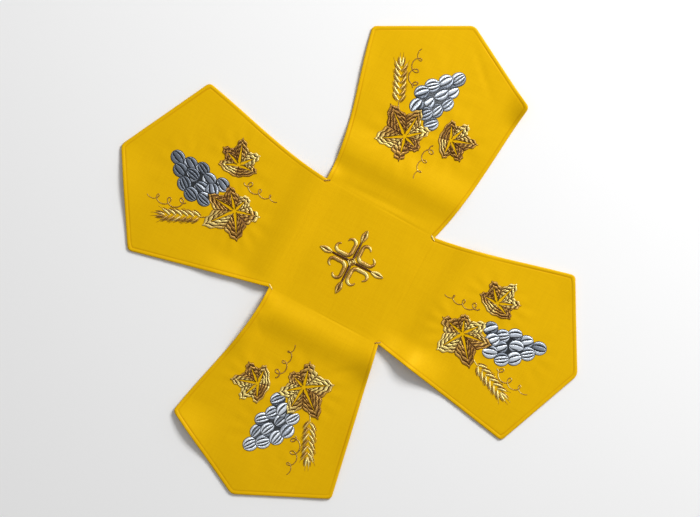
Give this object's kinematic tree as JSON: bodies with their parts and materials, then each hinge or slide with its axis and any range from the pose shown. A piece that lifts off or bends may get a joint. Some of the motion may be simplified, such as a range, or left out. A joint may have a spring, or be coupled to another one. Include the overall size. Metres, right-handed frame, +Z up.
{
  "type": "chalice veil",
  "caption": "Cross-shaped satin chalice veil with flared pointed arms, laid out flat, with an embroidered cross, vine leaves, grapes and wheat.",
  "frame": {"origin": "under the middle of the veil's box, on the surface that the cloth lies on", "axes": "+Z up from that surface, +X along one arm and +Y along the next one, anticlockwise from above"},
  "size_m": [0.3536, 0.365, 0.0093],
  "materials": {
    "golden_satin": "golden yellow satin with a soft sheen",
    "silver_thread": "bright silver embroidery thread",
    "gold_thread": "old gold embroidery thread"
  },
  "bodies": {
    "root": {"cloth": "golden_satin", "cross": "gold_thread", "grapes_right": "silver_thread", "large_leaf_right": "gold_thread", "small_leaf_right": "gold_thread", "wheat_right": "gold_thread", "grapes_top": "silver_thread", "large_leaf_top": "gold_thread", "small_leaf_top": "gold_thread", "wheat_top": "gold_thread", "grapes_left": "silver_thread", "large_leaf_left": "gold_thread", "small_leaf_left": "gold_thread", "wheat_left": "gold_thread", "grapes_bottom": "silver_thread", "large_leaf_bottom": "gold_thread", "small_leaf_bottom": "gold_thread", "wheat_bottom": "gold_thread"}
  },
  "joints": []
}
